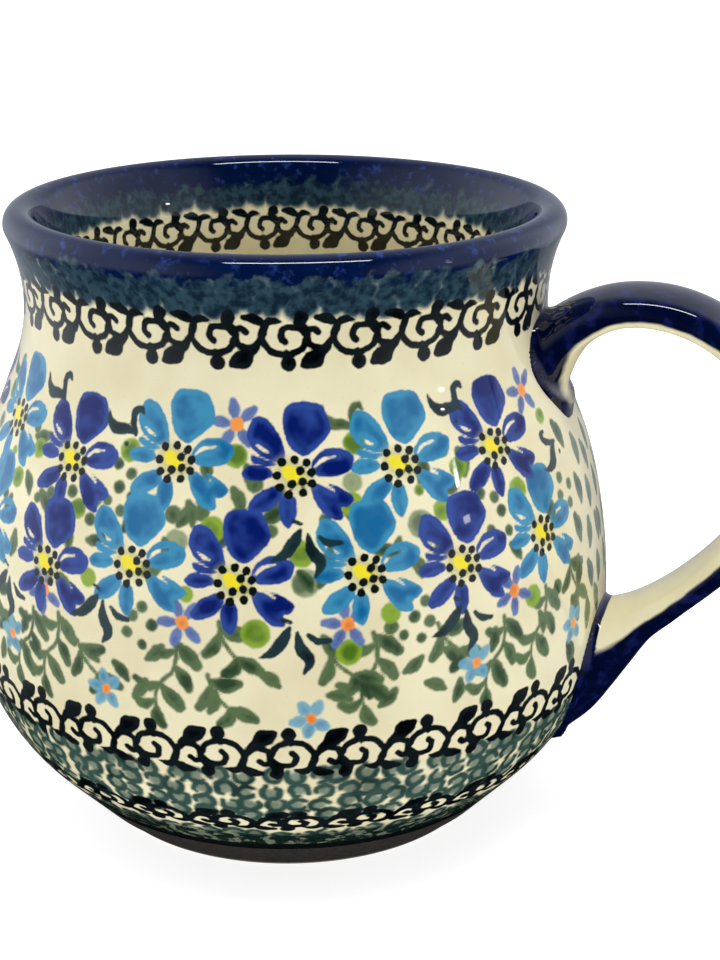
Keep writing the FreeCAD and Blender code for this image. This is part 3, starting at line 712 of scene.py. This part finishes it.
def swell_joint(points, normals):
    """Flare the strap out where it meets the bowl, as the joint's slip does, and bury its ends."""
    radius = np.hypot(points[..., 0], points[..., 1])
    step = 0.5
    slope = (bowl_radius(points[..., 2] + step) - bowl_radius(points[..., 2] - step)) / (2 * step)
    clear = (radius - bowl_radius(points[..., 2])) / np.sqrt(1 + slope**2)
    near = np.clip(SLIP_R - clear, 0, SLIP_R)
    flare = SLIP_R - np.sqrt(SLIP_R**2 - near**2)
    points = points + normals * flare[..., None]
    # Whatever is still more than a little inside the wall is drawn back to just under its face.
    radius = np.hypot(points[..., 0], points[..., 1])
    limit = bowl_radius(points[..., 2]) - BURIED
    pull = np.where(radius < limit, limit / np.maximum(radius, 1e-6), 1.0)
    points = points.copy()
    points[..., 0] *= pull
    points[..., 1] *= pull
    return points


strap, strap_normals, strap_paint = make_handle()
strap = swell_joint(strap, strap_normals)
joint_clear = np.hypot(strap[..., 0], strap[..., 1]) - bowl_radius(strap[..., 2])
low_half = strap[..., 2] < BOW[1] - 10
joint_paint = np.minimum(strap_paint, (joint_clear - JOINT_EDGE) * 1.2)
strap_paint = np.where(low_half, joint_paint, strap_paint)
strap[..., 0] += AXIS_X
handle_piece = grid_mesh("handle_strap", strap, None, True)
store(handle_piece, "cream_edge", strap_paint)


# ---------------------------------------------------------------- materials
class Look:
    """One node-based material and short ways to add nodes to it."""

    def __init__(self, name, roughness):
        self.material = bpy.data.materials.new(name)
        self.material.use_nodes = True
        self.tree = self.material.node_tree
        self.shader = self.tree.nodes["Principled BSDF"]
        self.shader.inputs["Roughness"].default_value = roughness
        self.place = self.tree.nodes.new("ShaderNodeTexCoord").outputs["Object"]

    def node(self, kind, links, **settings):
        item = self.tree.nodes.new(kind)
        for key, value in settings.items():
            setattr(item, key, value)
        for socket, value in links.items():
            if isinstance(value, bpy.types.NodeSocket):
                self.tree.links.new(value, item.inputs[socket])
            else:
                item.inputs[socket].default_value = value
        return item

    def math(self, operation, first, second=0.0):
        return self.node("ShaderNodeMath", {0: first, 1: second}, operation=operation).outputs[0]

    def noise(self, size_mm, detail=2.0, offset=0.0):
        """Smooth noise from 0 to 1 with features of about this size."""
        place = self.node("ShaderNodeVectorMath", {0: self.place, 1: (offset, offset, offset)}).outputs[0]
        links = {"Vector": place, "Scale": 1 / (size_mm * MM), "Detail": detail}
        return self.node("ShaderNodeTexNoise", links).outputs["Fac"]

    def ramp(self, value, low, high, start=0.0, end=1.0):
        links = {"Value": value, "From Min": low, "From Max": high, "To Min": start, "To Max": end}
        item = self.node("ShaderNodeMapRange", links, interpolation_type="SMOOTHSTEP")
        return item.outputs["Result"]

    def mix(self, share, first, second):
        item = self.tree.nodes.new("ShaderNodeMix")
        item.data_type = "RGBA"
        for socket, value in ((0, share), (6, first), (7, second)):
            if isinstance(value, bpy.types.NodeSocket):
                self.tree.links.new(value, item.inputs[socket])
            elif socket == 0:
                item.inputs[0].default_value = value
            else:
                item.inputs[socket].default_value = (*value, 1)
        return item.outputs[2]

    def depth(self, name):
        """A paint layer's depth with a slightly unsteady edge, in millimetres."""
        raw = self.node("ShaderNodeAttribute", {}, attribute_name=name).outputs["Fac"]
        return self.math("ADD", raw, self.ramp(self.noise(0.9), 0.3, 0.7, -0.06, 0.06))

    def finish(self, colour, bump_size, bump_height):
        self.tree.links.new(colour, self.shader.inputs["Base Color"])
        links = {"Height": self.noise(bump_size, 3.0), "Distance": bump_height * MM, "Strength": 1.0}
        bump = self.node("ShaderNodeBump", links)
        self.tree.links.new(bump.outputs["Normal"], self.shader.inputs["Normal"])
        return self.material


CREAM, CREAM_DEEP = (0.84, 0.785, 0.54), (0.76, 0.69, 0.45)
NAVY, NAVY_DEEP, NAVY_FLECK = (0.001, 0.010, 0.060), (0.0005, 0.003, 0.022), (0.014, 0.036, 0.17)

# In the order they are laid: layer, thin tone, strong tone, edge softness (mm), cover. The lace
# goes on last of all, over the sponged lip.
PIGMENTS = (
    ("sage", (0.24, 0.31, 0.16), (0.05, 0.10, 0.045), 0.28, 0.92),
    ("green", (0.088, 0.15, 0.062), (0.012, 0.044, 0.017), 0.24, 0.98),
    ("lime", (0.23, 0.37, 0.03), (0.07, 0.16, 0.012), 0.25, 0.97),
    ("small_blue", (0.10, 0.17, 0.42), (0.028, 0.06, 0.26), 0.22, 0.95),
    ("small_azure", (0.16, 0.38, 0.50), (0.06, 0.21, 0.37), 0.25, 0.95),
    ("orange", (0.88, 0.33, 0.07), (0.72, 0.19, 0.035), 0.18, 1.0),
    ("azure", (0.040, 0.26, 0.45), (0.006, 0.125, 0.31), 0.16, 0.99),
    ("cobalt", (0.025, 0.062, 0.29), (0.002, 0.010, 0.125), 0.16, 1.0),
    ("teal", (0.012, 0.036, 0.044), (0.003, 0.012, 0.017), 0.16, 0.995),
    ("dab_core", (0.11, 0.18, 0.145), (0.045, 0.09, 0.075), 0.4, 0.85),
    ("dab", (0.030, 0.075, 0.064), (0.006, 0.026, 0.023), 0.3, 0.99),
)
LACE = ("lace", (0.006, 0.010, 0.012), (0.001, 0.002, 0.003), 0.13, 1.0)
SPONGE_THIN, SPONGE, SPONGE_DEEP = (0.075, 0.12, 0.14), (0.026, 0.06, 0.085), (0.006, 0.018, 0.034)
EYE_HALO, EYE, SEED = (0.42, 0.42, 0.12), (0.85, 0.72, 0.03), (0.004, 0.008, 0.007)
LOW_THIN, LOW_GREEN, LOW_LINE = (0.16, 0.19, 0.13), (0.006, 0.017, 0.015), (0.004, 0.006, 0.006)
HANDLE_FLECK, SPECKLE = (0.008, 0.012, 0.10), (0.35, 0.30, 0.2)
# The foot's bare clay is painted much darker than the clay itself, so the shade under the belly lies in its
# colour. The worn resting face stays paler.
SHADED_CLAY, SHADED_CLAY_DEEP = (0.050, 0.042, 0.036), (0.026, 0.022, 0.020)
WORN, WORN_DEEP = (0.30, 0.255, 0.20), (0.22, 0.185, 0.145)
GLAZE_ROUGHNESS, CLAY_ROUGHNESS = 0.045, 0.55


def lay(look, ground, layer, thin, strong, soft, cover, seed):
    """Put one pigment over the ground: soft edge, thin near it and strong further in."""
    depth = look.depth(layer)
    amount = look.ramp(depth, -soft, soft, 0.0, cover)
    flow = look.math("ADD", look.noise(4.5, 2.0, seed), look.ramp(depth, 0.0, 1.3, -0.14, 0.1))
    tone = look.mix(look.ramp(flow, 0.34, 0.68), thin, strong)
    return look.mix(amount, ground, tone)


def cream_ground(look):
    speckle = look.ramp(look.noise(0.5, 2.0, 0.3), 0.66, 0.74)
    ground = look.mix(look.ramp(look.noise(14, 3.0), 0.35, 0.7), CREAM, CREAM_DEEP)
    return look.mix(look.math("MULTIPLY", speckle, 0.12), ground, SPECKLE)


def sponged_lip(look, ground, height, navy_from, teal_from):
    """Teal sponge prints, then navy up over the lip with lighter flecks in it."""
    depth = look.depth("sponge")
    teal = look.mix(look.ramp(look.noise(1.3, 3.0, 0.7), 0.35, 0.65), SPONGE, SPONGE_DEEP)
    rim = look.mix(look.ramp(depth, -0.2, 0.7), SPONGE_THIN, teal)
    above = look.ramp(height, teal_from * MM, (teal_from + 1.2) * MM)
    amount = look.math("MAXIMUM", look.ramp(depth, -0.7, 0.35), above)
    ground = look.mix(amount, ground, rim)
    fleck = look.ramp(look.noise(1.5, 3.0, 0.9), 0.55, 0.75)
    navy = look.mix(fleck, look.mix(look.noise(4, 2.0, 0.2), NAVY_DEEP, NAVY), NAVY_FLECK)
    sway = look.ramp(look.noise(2.2, 3.0, 0.5), 0.3, 0.7, -1.1 * MM, 1.1 * MM)
    edge = look.math("ADD", height, sway)
    return look.mix(look.ramp(edge, (navy_from - 0.7) * MM, (navy_from + 0.7) * MM), ground, navy)


def painted_look():
    look = Look("painted_glaze", GLAZE_ROUGHNESS)
    height = look.node("ShaderNodeSeparateXYZ", {0: look.place}).outputs[2]
    colour = cream_ground(look)
    for number, pigment in enumerate(PIGMENTS):
        colour = lay(look, colour, *pigment, 0.11 * number)
        if pigment[0] == "cobalt":
            # The flowers' yellow eyes and their seeds lie over both blues.
            eye = look.depth("eye")
            colour = look.mix(look.ramp(eye, -2.0, 0.1, 0.0, 0.6), colour, EYE_HALO)
            colour = look.mix(look.ramp(eye, -0.35, 0.35), colour, EYE)
            colour = look.mix(look.ramp(look.depth("seed"), -0.1, 0.12), colour, SEED)
    colour = sponged_lip(look, colour, height, navy_from=94.7, teal_from=93.2)
    colour = lay(look, colour, *LACE, 0.4)
    low_green = look.mix(look.ramp(look.noise(1.6, 2.0), 0.36, 0.5), LOW_THIN, LOW_GREEN)
    colour = look.mix(look.ramp(height, 12.4 * MM, 10.8 * MM), colour, low_green)
    colour = look.mix(look.ramp(height, 8.3 * MM, 7.8 * MM), colour, LOW_LINE)
    return look.finish(colour, 6.0, 0.012)


def inside_look():
    look = Look("inside_glaze", GLAZE_ROUGHNESS)
    height = look.node("ShaderNodeSeparateXYZ", {0: look.place}).outputs[2]
    colour = sponged_lip(look, cream_ground(look), height, navy_from=93.8, teal_from=92.6)
    colour = lay(look, colour, *LACE, 0.4)
    return look.finish(colour, 6.0, 0.012)


def handle_look():
    look = Look("handle_glaze", GLAZE_ROUGHNESS)
    edge = look.node("ShaderNodeAttribute", {}, attribute_name="cream_edge").outputs["Fac"]
    edge = look.math("ADD", edge, look.ramp(look.noise(3.5, 1.0), 0.3, 0.7, -0.035, 0.035))
    navy = look.mix(look.ramp(look.noise(2.0, 3.0, 0.6), 0.45, 0.8), NAVY_DEEP, HANDLE_FLECK)
    colour = look.mix(look.ramp(edge, -0.09, 0.09), navy, cream_ground(look))
    return look.finish(colour, 5.0, 0.012)


def clay_look():
    look = Look("bare_clay", CLAY_ROUGHNESS)
    height = look.node("ShaderNodeSeparateXYZ", {0: look.place}).outputs[2]
    # Painted shade: the clay's grain is darkened for the shade that falls under the belly. Only the resting
    # face at the bottom shows the paler worn clay.
    grain_in_shade = look.mix(look.ramp(look.noise(0.7, 4.0), 0.35, 0.7), SHADED_CLAY, SHADED_CLAY_DEEP)
    worn = look.mix(look.ramp(look.noise(0.5, 3.0, 0.8), 0.4, 0.7), WORN, WORN_DEEP)
    colour = look.mix(look.ramp(height, 0.3 * MM, 0.7 * MM), worn, grain_in_shade)
    return look.finish(colour, 0.6, 0.03)


def dress(pieces, material, slot, *nodes):
    for piece in pieces:
        piece.data.materials.append(material)
        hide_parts(*nodes)
        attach(piece, "root")


dress(outside_pieces, painted_look(), "decorated_glaze", "mug_body")
dress(inside_pieces, inside_look(), "decorated_glaze", "mug_body")
dress(foot_pieces, clay_look(), "decorated_glaze", "mug_body")
dress([handle_piece], handle_look(), "cobalt_glaze", "handle", "upper_joint_slip", "lower_joint_slip")

# ---------------------------------------------------------------- camera, floor and light
CAMERA_TURN, CAMERA_OUT, CAMERA_UP, CAMERA_TILT, CAMERA_PAN = 18.0, 302.5, 155.0, 18.77, 2.16
turn = math.radians(CAMERA_TURN)
camera = add_object("camera", bpy.data.cameras.new("camera"))
camera.data.lens = 74.14
camera.location = (
    (AXIS_X + CAMERA_OUT * math.sin(turn)) * MM,
    -CAMERA_OUT * math.cos(turn) * MM,
    CAMERA_UP * MM,
)
camera.rotation_euler = (math.radians(90 - CAMERA_TILT), 0, math.radians(CAMERA_TURN - CAMERA_PAN))
camera.data.clip_start = 0.01
bpy.context.scene.camera = camera


def light_panel(name, place, size, power):
    """A rectangular lamp in metres and watts, turned to the middle of the mug."""
    lamp = bpy.data.lights.new(name, "AREA")
    lamp.shape = "RECTANGLE"
    lamp.size, lamp.size_y = size
    lamp.energy = power
    item = add_object(name, lamp)
    item.location = place
    aim = Vector((0, 0, 0.05)) - Vector(place)
    item.rotation_euler = aim.to_track_quat("-Z", "Y").to_euler()
    return item


# Soft light that leaves no reflection, then the small lamps that the glaze does mirror.
for name, place, size, power in (
    ("overhead", (0, 0.1, 0.8), (1.3, 0.9), 3.6),
    ("left_window", (-1.0, 0.45, 0.5), (1.2, 0.8), 5.0),
    ("right_window", (1.05, 0.45, 0.45), (1.0, 0.7), 1.9),
    ("front_fill", (0.1, -1.0, 0.5), (0.9, 0.7), 0.8),
    ("right_fill", (1.0, -0.1, 0.4), (0.9, 0.7), 0.5),
    ("left_fill", (-1.0, -0.3, 0.4), (0.9, 0.7), 1.7),
):
    light_panel(name, place, size, power).visible_glossy = False
light_panel("upper_pane", (0.807, -0.112, 0.174), (0.04, 0.03), 0.035)
light_panel("lower_pane", (0.781, -0.104, 0.303), (0.022, 0.01), 0.035)
light_panel("rim_strip", (0.08, -0.18, 0.78), (0.5, 0.055), 2.3)

sky = bpy.data.lights.new("sky", "SUN")
sky.energy = 1.05
sky.angle = math.radians(50)
add_object("sky", sky).visible_glossy = False

world = bpy.data.worlds.new("world")
world.use_nodes = True
world.node_tree.nodes["Background"].inputs["Color"].default_value = (1, 1, 1, 1)
world.node_tree.nodes["Background"].inputs["Strength"].default_value = 0.12
bpy.context.scene.world = world
bpy.context.scene.view_settings.view_transform = "Standard"

# The floor is a pale light table: it glows, so the mug's shadow on it stays faint.
FLOOR_HALF = 6.0
floor_mesh = bpy.data.meshes.new("floor")
corners = [(x * FLOOR_HALF, y * FLOOR_HALF, 0) for x, y in ((-1, -1), (1, -1), (1, 1), (-1, 1))]
floor_mesh.from_pydata(corners, [], [(0, 1, 2, 3)])
floor = add_object("floor", floor_mesh)
floor_look = bpy.data.materials.new("light_table")
floor_look.use_nodes = True
floor_shader = floor_look.node_tree.nodes["Principled BSDF"]
floor_shader.inputs["Base Color"].default_value = (0.55, 0.55, 0.55, 1)
floor_shader.inputs["Roughness"].default_value = 0.9
floor_shader.inputs["Emission Color"].default_value = (1, 1, 1, 1)
floor_shader.inputs["Emission Strength"].default_value = 0.84
floor_mesh.materials.append(floor_look)
floor.visible_glossy = False


def dome(name, radius, colour):
    """A glowing sphere round the whole scene that lights nothing, and its look."""
    shell = bmesh.new()
    bmesh.ops.create_uvsphere(shell, u_segments=48, v_segments=24, radius=radius)
    mesh = bpy.data.meshes.new(name)
    shell.to_mesh(mesh)
    shell.free()
    item = add_object(name, mesh)
    item.visible_diffuse = item.visible_shadow = item.visible_transmission = False
    look = Look(name, 1.0)
    look.shader.inputs["Base Color"].default_value = (0, 0, 0, 1)
    look.shader.inputs["Specular IOR Level"].default_value = 0
    look.shader.inputs["Emission Color"].default_value = (*colour, 1)
    mesh.materials.append(look.material)
    return item, look


# The horizon is pale from every side. Only the camera sees it.
horizon, pale = dome("horizon", 5.5, (1, 1, 1))
horizon.visible_glossy = False
pale.shader.inputs["Emission Strength"].default_value = 0.98

# The glaze mirrors a room that is bright behind the mug and beside it, most on its left, and
# dark where the viewer stands and low down. Only reflections see it.
ROOM_R = 3.0
room, walls = dome("room", ROOM_R, (0.88, 0.93, 1.0))
room.visible_camera = False


def room_side(axis):
    """How far a point of the room lies along an axis, in metres."""
    links = {0: walls.place, 1: axis}
    return walls.node("ShaderNodeVectorMath", links, operation="DOT_PRODUCT").outputs["Value"]


behind = room_side((-math.sin(turn), math.cos(turn), 0))
beside = room_side((-math.cos(turn), -math.sin(turn), 0))
above = room_side((0, 0, 1))
glow = walls.ramp(behind, -0.3 * ROOM_R, 0.7 * ROOM_R, 0.0, 0.5)
glow = walls.math("ADD", glow, walls.ramp(beside, 0.3 * ROOM_R, 0.95 * ROOM_R, 0.0, 0.75))
glow = walls.math("ADD", glow, walls.ramp(beside, -0.4 * ROOM_R, -0.8 * ROOM_R, 0.0, 0.6))
glow = walls.math("MULTIPLY", glow, walls.ramp(above, -0.6 * ROOM_R, -0.1 * ROOM_R))
walls.tree.links.new(glow, walls.shader.inputs["Emission Strength"])
